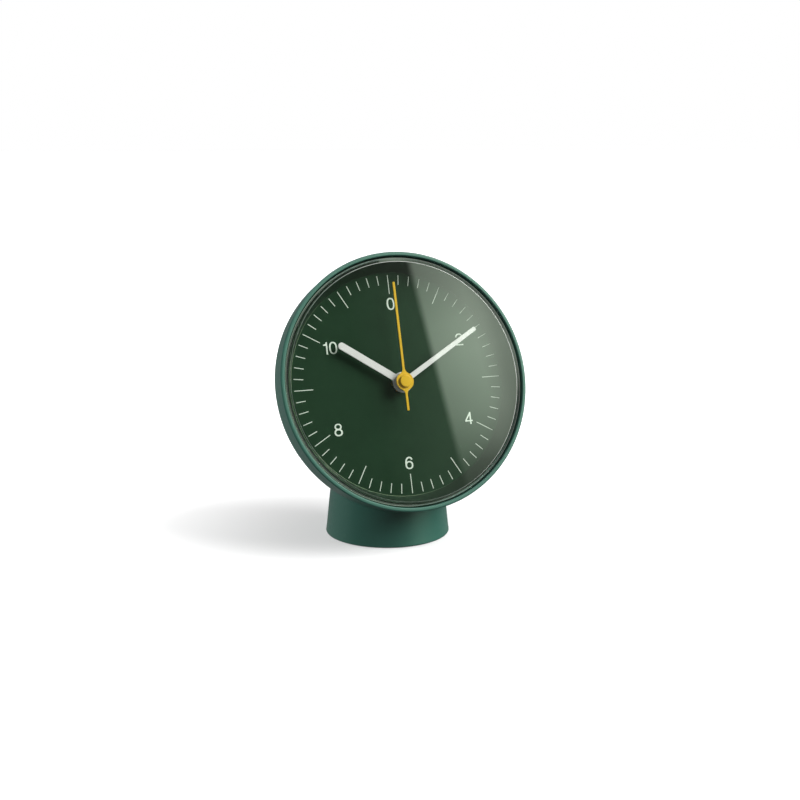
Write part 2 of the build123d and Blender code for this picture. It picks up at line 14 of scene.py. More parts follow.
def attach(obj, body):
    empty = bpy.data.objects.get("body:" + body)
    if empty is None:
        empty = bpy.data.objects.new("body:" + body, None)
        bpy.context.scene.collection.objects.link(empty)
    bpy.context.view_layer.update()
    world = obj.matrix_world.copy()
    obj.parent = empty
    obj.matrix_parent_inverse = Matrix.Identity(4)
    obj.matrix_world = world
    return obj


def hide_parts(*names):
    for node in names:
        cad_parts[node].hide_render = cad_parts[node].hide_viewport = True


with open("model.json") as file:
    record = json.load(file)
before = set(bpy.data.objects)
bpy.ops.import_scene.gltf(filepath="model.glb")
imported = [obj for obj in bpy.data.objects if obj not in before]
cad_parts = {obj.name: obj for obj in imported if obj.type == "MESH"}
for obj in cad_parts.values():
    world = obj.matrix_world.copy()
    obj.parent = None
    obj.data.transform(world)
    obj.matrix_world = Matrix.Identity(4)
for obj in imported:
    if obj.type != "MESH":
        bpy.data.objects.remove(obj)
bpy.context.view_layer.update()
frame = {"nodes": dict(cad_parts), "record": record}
scene = bpy.context.scene

MM = 0.001

# ---------------- head frame, metres ----------------
TILT = math.radians(17.9)
DIAL_OUT = Vector((0, -math.cos(TILT), math.sin(TILT)))
DIAL_UP = Vector((0, math.sin(TILT), math.cos(TILT)))
DIAL_CENTRE = Vector((0, -0.0159, 0.0782))
HEAD = Matrix((
    (1, DIAL_UP.x, DIAL_OUT.x, DIAL_CENTRE.x),
    (0, DIAL_UP.y, DIAL_OUT.y, DIAL_CENTRE.y),
    (0, DIAL_UP.z, DIAL_OUT.z, DIAL_CENTRE.z),
    (0, 0, 0, 1)))
WORLD_TO_HEAD = HEAD.inverted()

# ---------------- head dimensions, mm: R is a radius, H a height out of the dial ----------------
LIP_R, LIP_INNER_R, LIP_H = 62.5, 60.4, 11.6
SHOULDER_R, SHOULDER_H = 61.8, -1.4
BACK_H = -60.0
BACK_BORE_R, BACK_BORE_DEPTH = 32.25, 2.4
BACK_HOLE_R, BACK_THICKNESS = 30.6, 4.4
CONE_ANGLE = math.radians(23.0)
CONE_SLOPE = math.tan(CONE_ANGLE)
WALL_ACROSS = 2.5 / math.cos(CONE_ANGLE)  # a 2.5 wall measured along the radius
SEAT_H = 7.4  # ledge under the lens, also the chapter ring's top
DIAL_R, DIAL_BACK_H = 59.04, -1.0

# ---------------- base dimensions, mm ----------------
BASE_R, BASE_TAPER = 31.0, 0.104  # radius at the ground, and its loss per mm of height
BASE_LOW, BASE_EDGE = 0.3, 0.8  # underside height and the rounding of its outer edge
BASE_INNER_R = 26.0
RECESS_R, RECESS_H = 28.4, 3.0  # recess in the underside

# ---------------- hand dimensions, mm ----------------
SKIN_GAP = 0.001  # lifts a hub or cap off the face it would share
SECOND_LOW, SECOND_HIGH = 6.75, 7.2
SECOND_HALF_WIDTH, SECOND_CORNER = 0.575, 0.42
SECOND_TIP, SECOND_TAIL = 48.4, -14.1
SECOND_DISC_R, SECOND_BLEND_R = 4.4, 2.6

# ---------------- softbox, metres: a point on it and its two edge directions ----------------
SOFTBOX_POINT = Vector((0.4557, -0.9463, DIAL_CENTRE.z + 0.4171))
SOFTBOX_X = Vector((-0.90246, -0.43077, 0.0))
SOFTBOX_Y = Vector((-0.16245, 0.34033, 0.92617))
SOFTBOX_LEAN, LEAN_PIVOT_Y = 0.0, 0.1  # sideways lean of its near edge, zero on the pivot line

# ---------------- room seen in reflections ----------------
ROOM_DARK = 0.04  # brightness in front of the clock
ROOM_TURN = (-0.1, 0.5)  # Y of a direction over which the room turns from dark to pale


# ---------------- mesh helpers ----------------
def mesh_object(name, bm):
    """Turn a bmesh into a linked object and free it."""
    mesh = bpy.data.meshes.new(name)
    bm.to_mesh(mesh)
    bm.free()
    return linked_object(name, mesh)


def linked_object(name, data):
    made = bpy.data.objects.new(name, data)
    scene.collection.objects.link(made)
    return made


def finish(name, bm, slot, replaces, body="housing", matrix=HEAD, sharp_angle=35.0):
    """Clean a millimetre bmesh, place it, give it its material, attach it to its body and hide the
    frame piece it replaces.
    """
    bmesh.ops.remove_doubles(bm, verts=bm.verts, dist=1e-7)
    bmesh.ops.recalc_face_normals(bm, faces=bm.faces)
    piece = mesh_object(name, bm)
    mesh = piece.data
    mesh.transform(Matrix.Scale(MM, 4))
    mesh.transform(matrix)
    for polygon in mesh.polygons:
        polygon.use_smooth = True
    mesh.set_sharp_from_angle(angle=math.radians(sharp_angle))
    mesh.materials.append(materials[slot])
    weighted = piece.modifiers.new("weighted", "WEIGHTED_NORMAL")
    weighted.keep_sharp = True
    weighted.weight = 100
    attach(piece, body)
    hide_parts(replaces)


def rounded(points, arc=7):
    """Closed outline from (x, y, optional corner radius), each corner in arc steps."""
    outline = []
    for i, point in enumerate(points):
        x, y, radius = (list(point) + [0])[:3]
        if radius <= 0:
            outline.append((x, y))
            continue
        corner = Vector((x, y))
        before_x, before_y = points[i - 1][:2]
        after_x, after_y = points[(i + 1) % len(points)][:2]
        back = Vector((before_x - x, before_y - y)).normalized()
        ahead = Vector((after_x - x, after_y - y)).normalized()
        half = math.acos(max(-1, min(1, back.dot(ahead)))) / 2
        reach = radius / math.tan(half)
        centre = corner + (back + ahead).normalized() * (radius / math.sin(half))
        start = corner + back * reach - centre
        end = corner + ahead * reach - centre
        sweep = start.angle_signed(end)
        for k in range(arc + 1):
            angle = -sweep * k / arc
            c, s = math.cos(angle), math.sin(angle)
            outline.append((centre.x + start.x * c - start.y * s,
                            centre.y + start.x * s + start.y * c))
    return outline


def turned(points, segments=240, arc=7):
    """Surface of revolution from a closed outline of (radius, height, corner radius)."""
    bm = bmesh.new()
    turns = [2 * math.pi * k / segments for k in range(segments)]
    rings = []
    for radius, height in rounded(points, arc):
        if radius < 1e-6:
            rings.append([bm.verts.new((0, 0, height))])
        else:
            rings.append([bm.verts.new((radius * math.cos(t), radius * math.sin(t), height))
                          for t in turns])
    for i, ring in enumerate(rings):
        following = rings[(i + 1) % len(rings)]
        if len(ring) == 1 and len(following) == 1:
            continue
        for k in range(segments):
            j = (k + 1) % segments
            if len(ring) == 1:
                bm.faces.new((ring[0], following[k], following[j]))
            elif len(following) == 1:
                bm.faces.new((ring[k], following[0], ring[j]))
            else:
                bm.faces.new((ring[k], following[k], following[j], ring[j]))
    return bm


def plate(outline, low, high, edge, rotation=0.0, paired=False):
    """Flat plate from a closed outline, with a small rounded edge on its upper face.

    A paired outline is mirrored about its own middle, so opposite points join into quads.
    """
    steps = 3
    bm = bmesh.new()
    c, s = math.cos(rotation), math.sin(rotation)
    n = len(outline)
    area = sum(outline[i][0] * outline[(i + 1) % n][1] - outline[(i + 1) % n][0] * outline[i][1]
               for i in range(n))
    sign = 1 if area > 0 else -1
    layers = [(0.0, low)]
    for k in range(steps + 1):
        t = math.pi / 2 * k / steps
        layers.append((edge * (1 - math.cos(t)), high - edge + edge * math.sin(t)))
    rings = []
    for inset, z in layers:
        ring = []
        for i in range(n):
            x0, y0 = outline[i - 1]
            x1, y1 = outline[i]
            x2, y2 = outline[(i + 1) % n]
            arriving = Vector((x1 - x0, y1 - y0))
            leaving = Vector((x2 - x1, y2 - y1))
            # a zero-length side borrows its neighbour's direction
            arriving = (arriving if arriving.length > 1e-9 else leaving).normalized()
            leaving = leaving.normalized() if leaving.length > 1e-9 else arriving
            inward = Vector((-(arriving.y + leaving.y), arriving.x + leaving.x)) * sign
            if inward.length > 1e-6:
                inward = inward.normalized()
            else:
                inward = Vector((-arriving.y, arriving.x)) * sign
            x, y = x1 + inward.x * inset, y1 + inward.y * inset
            ring.append(bm.verts.new((x * c - y * s, x * s + y * c, z)))
        rings.append(ring)
    for lower, upper in zip(rings, rings[1:]):
        for i in range(n):
            j = (i + 1) % n
            bm.faces.new((lower[i], lower[j], upper[j], upper[i]))
    if paired:
        for ring in (rings[-1], rings[0]):
            for i in range(n // 2 - 1):
                bm.faces.new((ring[i], ring[i + 1], ring[n - 2 - i], ring[n - 1 - i]))
    else:
        caps = [bm.faces.new(rings[-1]), bm.faces.new(list(reversed(rings[0])))]
        bmesh.ops.triangulate(bm, faces=caps, ngon_method="EAR_CLIP")
    return bm


def merge(target, added):
    """Move one bmesh into another."""
    carrier = bpy.data.meshes.new("tmp")
    added.to_mesh(carrier)
    target.from_mesh(carrier)
    added.free()
    bpy.data.meshes.remove(carrier)


# ---------------- shader node helpers ----------------
def node(tree, kind, inputs=None, **settings):
    """New shader node; each input is either a socket to link or a plain value."""
    made = tree.nodes.new("ShaderNode" + kind)
    for key, value in settings.items():
        setattr(made, key, value)
    for key, value in (inputs or {}).items():
        if isinstance(value, bpy.types.NodeSocket):
            tree.links.new(value, made.inputs[key])
        else:
            made.inputs[key].default_value = value
    return made


def new_material(name):
    """Material with an output node only."""
    material = bpy.data.materials.new(name)
    material.use_nodes = True
    tree = material.node_tree
    tree.nodes.clear()
    return material, tree, node(tree, "OutputMaterial")


def attribute(tree, name):
    return node(tree, "Attribute", attribute_name=name).outputs["Fac"]


def noise(tree, coords, scale, detail, roughness=0.55, stretch=None):
    if stretch:
        coords = node(tree, "Mapping", {0: coords, "Scale": stretch}).outputs[0]
    inputs = {0: coords, "Scale": scale, "Detail": detail, "Roughness": roughness}
    return node(tree, "TexNoise", inputs).outputs["Fac"]


def remap(tree, source, span=(0.35, 0.65), to=(0.0, 1.0), smooth=False):
    inputs = {0: source, "From Min": span[0], "From Max": span[1],
              "To Min": to[0], "To Max": to[1]}
    interpolation = "SMOOTHSTEP" if smooth else "LINEAR"
    return node(tree, "MapRange", inputs, interpolation_type=interpolation).outputs[0]


def arithmetic(tree, operation, first, second):
    return node(tree, "Math", {0: first, 1: second}, operation=operation).outputs[0]


def vector_math(tree, operation, first, second=None):
    inputs = {0: first}
    if second is not None:
        inputs["Scale" if operation == "SCALE" else 1] = second
    output = "Value" if operation in ("DOT_PRODUCT", "LENGTH") else "Vector"
    return node(tree, "VectorMath", inputs, operation=operation).outputs[output]


def mix_value(tree, factor, first, second):
    return node(tree, "Mix", {0: factor, 2: first, 3: second}).outputs[0]


def mix_colour(tree, factor, first, second):
    return node(tree, "Mix", {0: factor, 6: first, 7: second}, data_type="RGBA").outputs[2]


def mix_shader(tree, factor, first, second):
    return node(tree, "MixShader", {0: factor, 1: first, 2: second}).outputs[0]


# ---------------- materials ----------------
def srgb(red, green, blue):
    """Linear colour from 0-255 display values."""
    def linear(value):
        value /= 255.0
        return value / 12.92 if value <= 0.04045 else ((value + 0.055) / 1.055) ** 2.4
    return (linear(red), linear(green), linear(blue), 1.0)


def scaled(colour, factor):
    return (*(channel * factor for channel in colour[:3]), 1.0)


def surface(name, colour, rough, rough_drift, tint, grain, bump, depth,
            spec=0.5, metallic=0.0, blotch=60.0, stretch=None, painted_highlight=None):
    """Moulded or painted surface: broad tint drift, roughness drift and a fine bump grain.

    With a painted highlight colour, the mesh's painted highlight mask value blends it in.
    """
    material, tree, output = new_material(name)
    coords = node(tree, "TexCoord").outputs["Object"]
    broad = noise(tree, coords, blotch, detail=3.0)
    fine = noise(tree, coords, grain, detail=3.0, roughness=0.6, stretch=stretch)
    middle = noise(tree, coords, grain * 0.27, detail=2.0, roughness=0.5, stretch=stretch)
    base = mix_colour(tree, remap(tree, broad), scaled(colour, 1 - tint), scaled(colour, 1 + tint))
    # painted highlight, blended in by the mesh's mask
    if painted_highlight:
        base = mix_colour(tree, attribute(tree, "painted_highlight_mask"), base, painted_highlight)
    bumps = node(tree, "Bump", {"Strength": bump, "Distance": depth, "Height": fine})
    bsdf = node(tree, "BsdfPrincipled", {
        "Base Color": base,
        "Roughness": remap(tree, middle, span=(0.3, 0.7),
                           to=(rough - rough_drift, rough + rough_drift)),
        "Normal": bumps.outputs[0],
        "Metallic": metallic,
        "Specular IOR Level": spec,
        "Coat Roughness": 0.2})
    tree.links.new(bsdf.outputs[0], output.inputs[0])
    return material


# slot: colour, roughness, its drift, tint drift, grain scale, bump strength, bump depth (m), extras
SURFACES = {
    "green_plastic": ((0.029, 0.109, 0.082, 1.0), 0.38, 0.05, 0.035, 2600, 0.16, 2e-5,
                      dict(spec=1.0, blotch=25)),
    # the ring's extra colour is a painted highlight for its light-facing inner edge
    "green_ring": (srgb(32, 47, 35), 0.42, 0.05, 0.04, 2600, 0.2, 2e-5,
                   dict(spec=0.15, painted_highlight=srgb(128, 146, 116))),
    "green_dial": (srgb(28, 49, 33), 0.62, 0.06, 0.06, 1800, 0.15, 2e-5,
                   dict(spec=0.04, blotch=40)),
    "white_ink": (srgb(202, 211, 198), 0.6, 0.05, 0.03, 5000, 0.2, 1e-5, {}),
    "white_hand": (srgb(199, 197, 194), 0.42, 0.05, 0.02, 3000, 0.12, 1e-5, {}),
    "yellow_hand": (srgb(200, 158, 20), 0.42, 0.05, 0.03, 3000, 0.12, 1e-5, dict(spec=0.3)),
    "black_rubber": (srgb(15, 34, 25), 0.75, 0.06, 0.1, 1800, 0.4, 4e-5, dict(spec=0.2)),
    "movement_plastic": (srgb(36, 37, 38), 0.5, 0.06, 0.06, 1500, 0.4, 3e-5, {}),
    "brass": (srgb(205, 165, 90), 0.28, 0.06, 0.05, 1800, 0.25, 2e-5,
              dict(metallic=1.0, stretch=(1, 1, 8))),
    "wheel_plastic": (srgb(226, 222, 208), 0.4, 0.05, 0.03, 2000, 0.2, 2e-5, {}),
    "steel": (srgb(176, 178, 180), 0.3, 0.07, 0.05, 2200, 0.25, 2e-5,
              dict(metallic=1.0, stretch=(1, 9, 1))),
    "green_knob": (srgb(44, 76, 64), 0.4, 0.05, 0.04, 2200, 0.3, 2e-5, {}),
    "magnet": (srgb(60, 60, 64), 0.45, 0.08, 0.1, 1400, 0.4, 3e-5, dict(metallic=0.8)),
    "copper_wire": (srgb(190, 110, 60), 0.3, 0.06, 0.08, 900, 0.8, 8e-5,
                    dict(metallic=0.9, stretch=(9, 0.2, 0.2))),
    "board": (srgb(150, 120, 66), 0.5, 0.06, 0.08, 1200, 0.3, 3e-5, {}),
    "chip_resin": (srgb(20, 20, 20), 0.3, 0.06, 0.1, 1500, 0.3, 3e-5, {}),
    "cover_plastic": (srgb(48, 84, 72), 0.5, 0.06, 0.04, 2000, 0.5, 3e-5, {}),
    "battery_jacket": (srgb(44, 96, 120), 0.3, 0.04, 0.04, 900, 0.1, 2e-5, {}),
    "lead_sheath": (srgb(150, 30, 30), 0.45, 0.05, 0.05, 1500, 0.2, 2e-5, {}),
    "steel_plate": (srgb(46, 50, 50), 0.45, 0.06, 0.06, 1500, 0.5, 3e-5, {}),
    "weight_iron": (srgb(92, 92, 94), 0.55, 0.08, 0.1, 700, 0.6, 8e-5, dict(metallic=0.8)),
    "foot_rubber": (srgb(26, 28, 28), 0.85, 0.05, 0.08, 1100, 0.6, 6e-5, dict(spec=0.2)),
}

LENS_IOR = 1.49

# painted softbox reflection on the lens: (place along the softbox axis in metres, brightness)
ACROSS_STOPS = (
    (-0.3, 0.4), (-0.15, 0.45), (-0.112, 0.6), (-0.09, 0.74),
    (-0.075, 0.92), (-0.06, 1.0), (-0.035, 0.88), (0.0, 0.68))
UPWARD_STOPS = (
    (-0.3, 0.1), (-0.15, 0.15), (-0.12, 0.26), (-0.09, 0.5), (-0.05, 0.74), (-0.01, 0.87),
    (0.03, 1.0), (0.07, 0.97), (0.1, 0.86), (0.14, 0.72), (0.3, 0.6))
STOPS_GAIN, SOFTBOX_GAIN, FRESNEL_GAIN = 1.95, 1.85, 1.9


def stop_curve(tree, source, stops):
    """Grey colour ramp through (place, brightness) stops."""
    start, end = stops[0][0], stops[-1][0]
    curve = node(tree, "ValToRGB", {0: remap(tree, source, span=(start, end))})
    elements = curve.color_ramp.elements
    while len(elements) > 1:
        elements.remove(elements[-1])
    for i, (place, value) in enumerate(stops):
        position = (place - start) / (end - start)
        element = elements[0] if i == 0 else elements.new(position)
        element.position = position
        element.color = (value, value, value, 1)
    return curve.outputs[0]


def painted_room_reflection(tree):
    """Painted reflection, as emission strength: the softbox, the room and the lamp overhead that a
    flat face would mirror.
    """
    def multiply(first, second):
        return arithmetic(tree, "MULTIPLY", first, second)

    def add(first, second):
        return arithmetic(tree, "ADD", first, second)

    def dot(first, second):
        return vector_math(tree, "DOT_PRODUCT", first, second)

    geometry = node(tree, "NewGeometry").outputs
    position = geometry["Position"]
    view = vector_math(tree, "SCALE", geometry["Incoming"], -1.0)
    ray = vector_math(tree, "REFLECT", view, geometry["Normal"])

    # where the mirrored ray meets the softbox plane, in softbox axes
    facing = SOFTBOX_X.cross(SOFTBOX_Y)
    to_softbox = vector_math(tree, "SUBTRACT", SOFTBOX_POINT, position)
    reach = arithmetic(tree, "DIVIDE", dot(to_softbox, facing), dot(ray, facing))
    hit = vector_math(tree, "ADD", position, vector_math(tree, "SCALE", ray, reach))
    hit = vector_math(tree, "SUBTRACT", hit, SOFTBOX_POINT)
    y = dot(hit, SOFTBOX_Y)
    lean = multiply(arithmetic(tree, "SUBTRACT", y, LEAN_PIVOT_Y), SOFTBOX_LEAN)
    x = add(dot(hit, SOFTBOX_X), lean)

    # lit sheet on one side of the near edge, dim flag on the other
    across = stop_curve(tree, x, ACROSS_STOPS)
    upward = stop_curve(tree, y, UPWARD_STOPS)
    sheet = multiply(multiply(multiply(across, upward), STOPS_GAIN), SOFTBOX_GAIN)
    edge = remap(tree, x, span=(-0.005, 0.007), to=(1.0, 0.0), smooth=True)
    flag = remap(tree, x, span=(0.0, 0.1), to=(0.2, 0.0))
    off_edge = arithmetic(tree, "SUBTRACT", 1.0, edge)
    card = add(multiply(edge, sheet), multiply(off_edge, flag))

    # fade out at the far side, bottom and top; nothing behind the face
    fade_side = remap(tree, x, span=(-0.95, -0.85), to=(0.0, 1.0))
    fade_bottom = remap(tree, y, span=(-0.5, -0.45), to=(0.0, 1.0))
    fade_top = remap(tree, y, span=(0.7, 0.75), to=(1.0, 0.0))
    mask = multiply(fade_side, multiply(fade_bottom, fade_top))
    mask = multiply(mask, arithmetic(tree, "GREATER_THAN", reach, 0.0))

    heading = node(tree, "SeparateXYZ", {0: ray}).outputs
    backdrop = remap(tree, heading[1], span=ROOM_TURN, to=(ROOM_DARK, 0.26), smooth=True)
    lamp = remap(tree, heading[2], span=(0.75, 0.95), to=(0.0, 1.2), smooth=True)
    seen = add(multiply(card, mask), add(backdrop, lamp))

    fresnel = node(tree, "Fresnel", {"IOR": LENS_IOR}).outputs[0]
    front = arithmetic(tree, "SUBTRACT", 1.0, geometry["Backfacing"])
    return multiply(multiply(seen, multiply(fresnel, FRESNEL_GAIN)), front)


def lens_material():
    """Clear lens with a painted reflection on its face and a painted highlight on its bevel,
    steered by the mesh's flat_face value, its painted highlight mask and its toward_light value.
    """
    material, tree, output = new_material("clear_lens")
    coords = node(tree, "TexCoord").outputs["Object"]
    clouding = noise(tree, coords, 90.0, detail=3.0)
    glass = node(tree, "BsdfGlass", {
        "IOR": LENS_IOR,
        "Color": (0.985, 0.995, 0.99, 1),
        "Roughness": remap(tree, clouding, to=(0.0, 0.0005))}).outputs[0]

    # shadow and diffuse rays pass straight through
    clear = node(tree, "BsdfTransparent", {"Color": (0.96, 0.975, 0.965, 1)}).outputs[0]
    rays = node(tree, "LightPath").outputs
    passing = arithmetic(tree, "MAXIMUM", rays["Is Shadow Ray"], rays["Is Diffuse Ray"])
    body = mix_shader(tree, passing, glass, clear)

    # the flat faces pass light straight on and carry a painted reflection: emission seen by the
    # camera only, standing in for the mirror image
    strength = arithmetic(tree, "MULTIPLY", painted_room_reflection(tree), rays["Is Camera Ray"])
    painted_reflection = node(tree, "Emission", {"Color": (0.87, 1.05, 0.84, 1), "Strength": strength})
    through = node(tree, "BsdfRefraction", {
        "IOR": LENS_IOR, "Roughness": 0.0, "Color": (0.965, 0.975, 0.97, 1)})
    both = node(tree, "AddShader", {0: through.outputs[0], 1: painted_reflection.outputs[0]}).outputs[0]
    face = mix_shader(tree, passing, both, clear)
    unground = mix_shader(tree, attribute(tree, "flat_face"), body, face)

    # painted highlight on the bevel round the face, and faintly on the outer edge: a diffuse
    # colour, pale toward the light and dark away from it
    shaded, lit = (0.03, 0.06, 0.045, 1), (0.8, 0.84, 0.78, 1)
    painted_bevel_highlight = node(tree, "BsdfPrincipled", {
        "Base Color": mix_colour(tree, attribute(tree, "toward_light"), shaded, lit),
        "Roughness": 0.35}).outputs[0]
    amount = arithmetic(tree, "MULTIPLY", attribute(tree, "painted_highlight_mask"), 0.85)
    tree.links.new(mix_shader(tree, amount, unground, painted_bevel_highlight), output.inputs[0])
    return material


materials = {slot: surface(slot, *values, **extras)
             for slot, (*values, extras) in SURFACES.items()}
materials["clear_lens"] = lens_material()


# ---------------- head ----------------
def cone_radius(height):
    """Outer radius of the bowl's conical side."""
    return SHOULDER_R - (SHOULDER_H - height) * CONE_SLOPE


def head_shell():
    floor_h = BACK_H + BACK_THICKNESS
    cavity_h = -5.0  # where the cone's inside meets the dial ledge
    ledge_r, rim_r = 55.0, 59.1
    bore_h = BACK_H + BACK_BORE_DEPTH
    profile = [
        (LIP_INNER_R, LIP_H, 0.6), (LIP_R, LIP_H, 0.8),
        (SHOULDER_R, SHOULDER_H, 6.0), (cone_radius(BACK_H), BACK_H, 5.0),
        (BACK_BORE_R, BACK_H, 0.3), (BACK_BORE_R, bore_h),
        (BACK_HOLE_R, bore_h), (BACK_HOLE_R, floor_h),
        (cone_radius(floor_h) - WALL_ACROSS, floor_h, 1.5),
        (cone_radius(cavity_h) - WALL_ACROSS, cavity_h, 1.0),
        (ledge_r, cavity_h), (ledge_r, DIAL_BACK_H),
        (rim_r, DIAL_BACK_H), (rim_r, SEAT_H), (LIP_INNER_R, SEAT_H)]
    finish("head_shell_skin", turned(profile, segments=320, arc=12),
           "green_plastic", "head_shell")


# lens section: (radius, height, corner radius), mm
LENS_PROFILE = [
    (0, 9.0), (57.6, 9.0), (58.4, 9.0, 0.3), (58.4, 7.43, 0.1), (59.6, 7.43, 0.1),
    (59.6, 10.72, 0.2), (58.9, 10.8), (57.84, 10.94), (57.8, 10.96), (57.54, 11.17),
    (57.5, 11.2), (56.9, 11.2), (0, 11.2)]


def lens():
    bm = turned(LENS_PROFILE, segments=480, arc=6)
    layers = bm.verts.layers.float
    names = ("painted_highlight_mask", "flat_face", "toward_light")
    for name in names:
        layers.new(name)
    # fetched only now, because adding a layer invalidates earlier handles
    painted_highlight_mask, flat_face, toward_light = [layers[name] for name in names]
    light_x, light_y = 0.883, 0.469  # the lit side is to the right and up
    for vert in bm.verts:
        x, y, z = vert.co
        radius = math.hypot(x, y)
        lit = max(0.2, 0.3 + 0.7 * (light_x * x + light_y * y) / max(radius, 1.0))
        # painted highlight mask: the bevel ring in full, the outer edge faintly; toward_light
        # paints it pale on the side facing the light
        on_bevel = 57.52 < radius < 57.82 and z > 10.94
        vert[flat_face] = 1.0
        vert[toward_light] = lit if radius < 58.0 else 0.8
        vert[painted_highlight_mask] = 1.0 if on_bevel else (0.13 if radius > 59.3 else 0.0)
    finish("lens_clear", bm, "clear_lens", "lens", sharp_angle=25)


def lens_gasket():
    inner, outer, top, corner = 59.64, 60.36, 8.9, 0.2
    profile = [(inner, SEAT_H), (outer, SEAT_H), (outer, top, corner), (inner, top, corner)]
    finish("lens_gasket_ring", turned(profile, arc=3), "black_rubber", "lens_gasket")


def chapter_ring():
    """Sloping ring between dial and lens, with a painted highlight on its inner edge at the lower
    left, the side toward the light.
    """
    profile = [(54.3, 0.0), (DIAL_R, 0.0), (DIAL_R, SEAT_H), (58.35, SEAT_H, 0.15),
               (54.46, 0.14), (54.44, 0.12), (54.38, 0.05)]
    bm = turned(profile, segments=320, arc=4)
    painted_highlight_mask = bm.verts.layers.float.new("painted_highlight_mask")
    for vert in bm.verts:
        x, y = vert.co.xy
        radius = math.hypot(x, y)
        # painted highlight on the inner edge, strongest at the lower left where it faces the light
        painted_highlight = max(0.0, min(1.0, (-0.866 * x - 0.5 * y) / radius * 1.6 - 0.1))
        vert[painted_highlight_mask] = painted_highlight if radius < 54.45 else 0.0
    finish("chapter_ring_smooth", bm, "green_ring", "chapter_ring")


def dial_plate():
    hole_r = 3.5
    profile = [(hole_r, DIAL_BACK_H), (DIAL_R, DIAL_BACK_H), (DIAL_R, 0.0), (hole_r, 0.0)]
    finish("dial_plate_smooth", turned(profile), "green_dial", "dial_plate")


# ---------------- base ----------------
def inside_bowl(x, y, z):
    """Whether a world point in millimetres is inside the bowl's cone."""
    point = WORLD_TO_HEAD @ (Vector((x, y, z)) * MM)
    return math.hypot(point.x, point.y) / MM < cone_radius(point.z / MM)


def base_radius(z):
    return BASE_R - BASE_TAPER * z


def base_pedestal():
    """Tapered wall whose top follows the bowl's underside."""
    bm = bmesh.new()
    segments = 240
    search_from, search_to, search_step = 12.0, 34.0, 0.02
    wall_start = BASE_LOW + BASE_EDGE
    wall_steps = 12
    overlap = 0.35  # how far the wall runs on past the bowl's surface
    columns = []
    inner = []
    turns = [2 * math.pi * k / segments for k in range(segments)]
    for turn in turns:
        c, s = math.cos(turn), math.sin(turn)
        z = search_from
        while z < search_to and not inside_bowl(base_radius(z) * c, base_radius(z) * s, z):
            z += search_step
        # column of (radius, height), from the recess out and up to the bowl
        column = [(27.9, RECESS_H), (RECESS_R, RECESS_H),
                  (RECESS_R, BASE_LOW + 0.2), (RECESS_R + 0.2, BASE_LOW)]
        for i in range(6):
            t = math.pi / 2 * i / 5
            column.append((base_radius(BASE_LOW) - BASE_EDGE + BASE_EDGE * math.sin(t),
                           wall_start - BASE_EDGE * math.cos(t)))
        for i in range(1, wall_steps + 1):
            height = wall_start + (z + overlap - wall_start) * i / wall_steps
            column.append((base_radius(height), height))
        column.append((base_radius(z) - 1.6, z + 0.5))
        columns.append([bm.verts.new((r * c, r * s, height)) for r, height in column])
    for k in range(segments):
        column, following = columns[k], columns[(k + 1) % segments]
        for i in range(len(column) - 1):
            bm.faces.new((column[i], following[i], following[i + 1], column[i + 1]))
    # the inner wall closes the shell
    for turn, column in zip(turns, columns):
        x, y = BASE_INNER_R * math.cos(turn), BASE_INNER_R * math.sin(turn)
        inner.append([bm.verts.new((x, y, z)) for z in (column[-1].co.z, RECESS_H)])
    for k in range(segments):
        j = (k + 1) % segments
        bm.faces.new((columns[k][-1], columns[j][-1], inner[j][0], inner[k][0]))
        bm.faces.new((inner[k][0], inner[j][0], inner[j][1], inner[k][1]))
        bm.faces.new((inner[k][1], inner[j][1], columns[j][0], columns[k][0]))
    finish("base_pedestal_skin", bm, "green_plastic", "base_pedestal",
           matrix=Matrix.Identity(4))


def foot_pad():
    radius, top = 28.5, 1.0
    profile = [(0, 0.0), (radius, 0.0, 0.25), (radius, top, 0.2), (0, top)]
    finish("foot_pad_soft", turned(profile, segments=160, arc=3), "foot_rubber", "foot_pad",
           matrix=Matrix.Identity(4))


# ---------------- hands ----------------
def hub(radius, bore, low, high, edge=0.1):
    profile = [(bore, low), (radius, low), (radius, high, edge), (bore, high)]
    return turned(profile, segments=96, arc=3)


def bar_hand(kind, clockwise, half_root, half_tip, start, tip, tip_round,
             low, high, edge, bore, disc_r, collar_r, collar_low):
    """White bar with a disc round the arbor and a narrower collar below it."""
    outline = rounded([(-half_root, start), (-half_tip, tip, tip_round),
                       (half_tip, tip, tip_round), (half_root, start)], arc=10)
    bm = plate(outline, low, high, edge, rotation=math.radians(-clockwise))
    merge(bm, hub(disc_r, bore, low, high + SKIN_GAP, edge))
    merge(bm, hub(collar_r, bore, collar_low, low + 0.05))
    finish(kind + "_hand_enamelled", bm, "white_hand", kind + "_hand",
           body=kind + "_hand_body")


